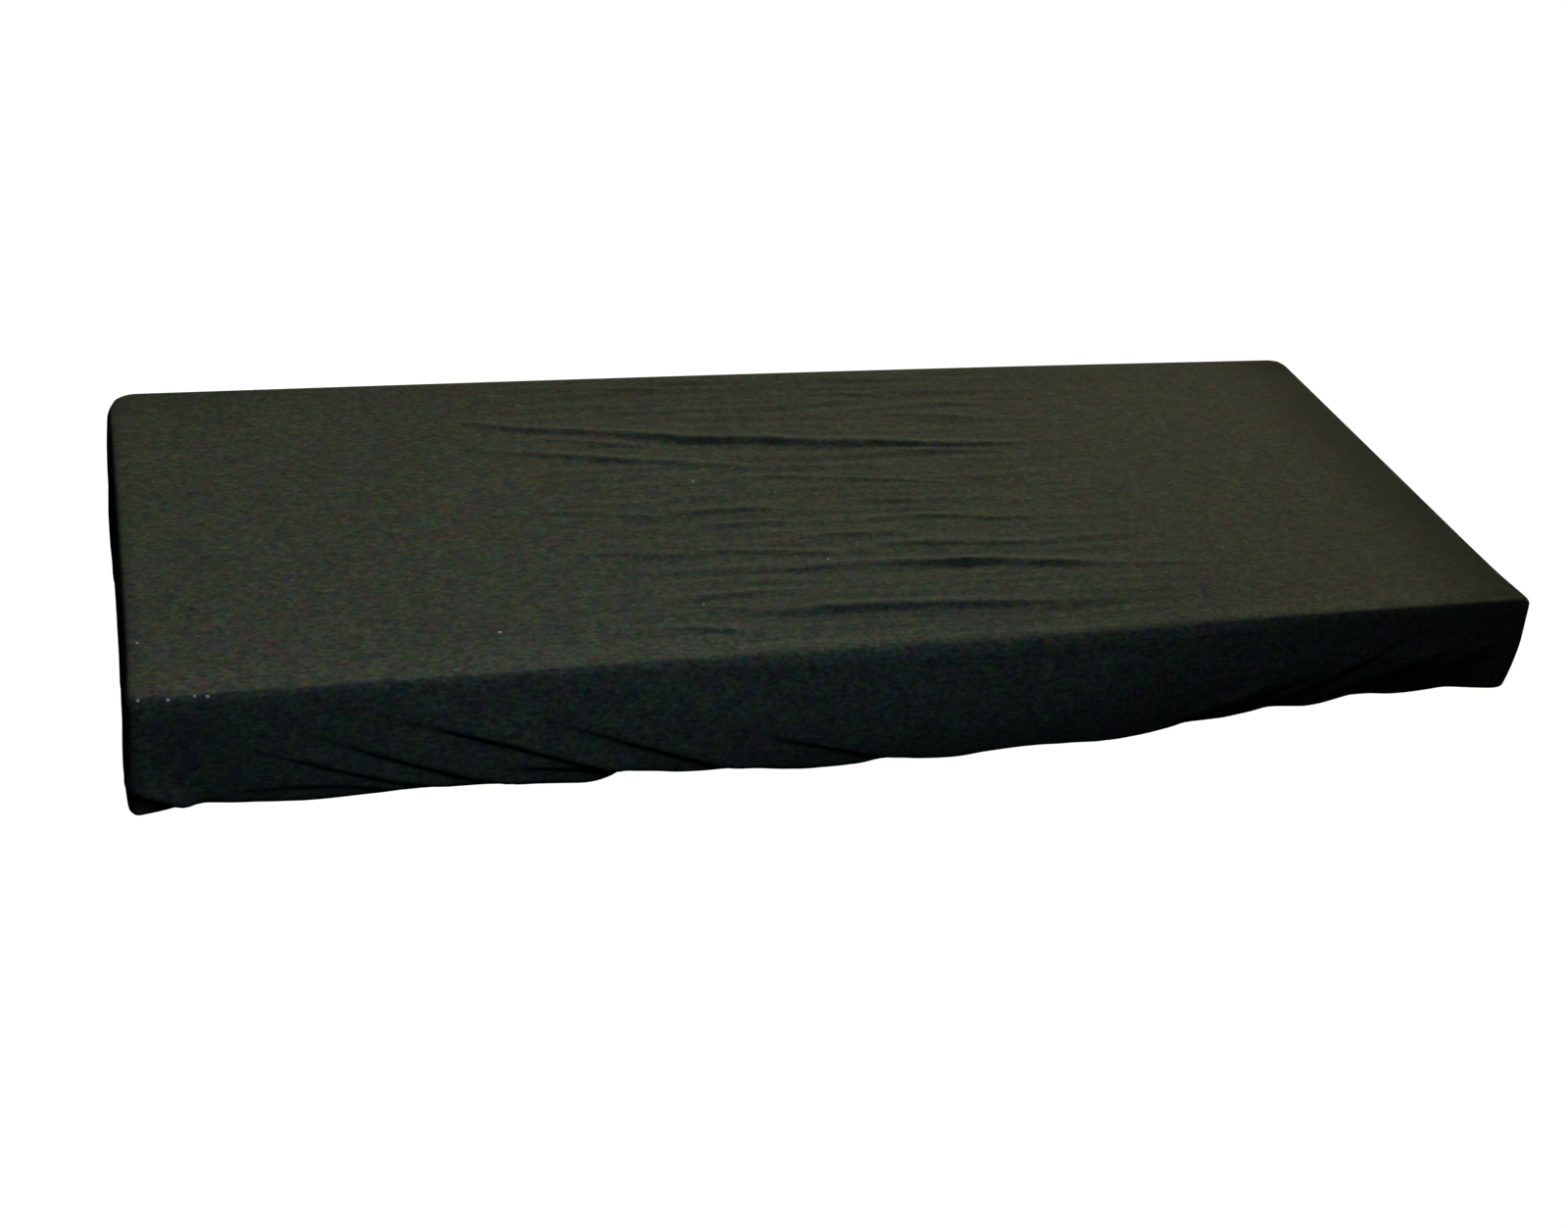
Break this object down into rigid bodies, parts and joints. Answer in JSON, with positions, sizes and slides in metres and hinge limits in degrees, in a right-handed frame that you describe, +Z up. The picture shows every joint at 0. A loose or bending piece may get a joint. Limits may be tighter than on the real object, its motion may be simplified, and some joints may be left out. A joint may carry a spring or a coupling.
{
  "type": "keyboard dust cover",
  "caption": "Fitted stretch-knit dust cover for a keyboard: flat wrinkled top with rounded edges, hanging sides with slanted creases, and a gathered hem turned in; open below.",
  "frame": {"origin": "middle of the underside of the top, where the cover lies on what it covers", "axes": "+X along the keyboard, -Y the front where the keys are, +Z up"},
  "size_m": [0.9713, 0.4013, 0.0981],
  "materials": {
    "knit": "matte"
  },
  "bodies": {
    "root": {"cover": "knit"}
  },
  "joints": []
}
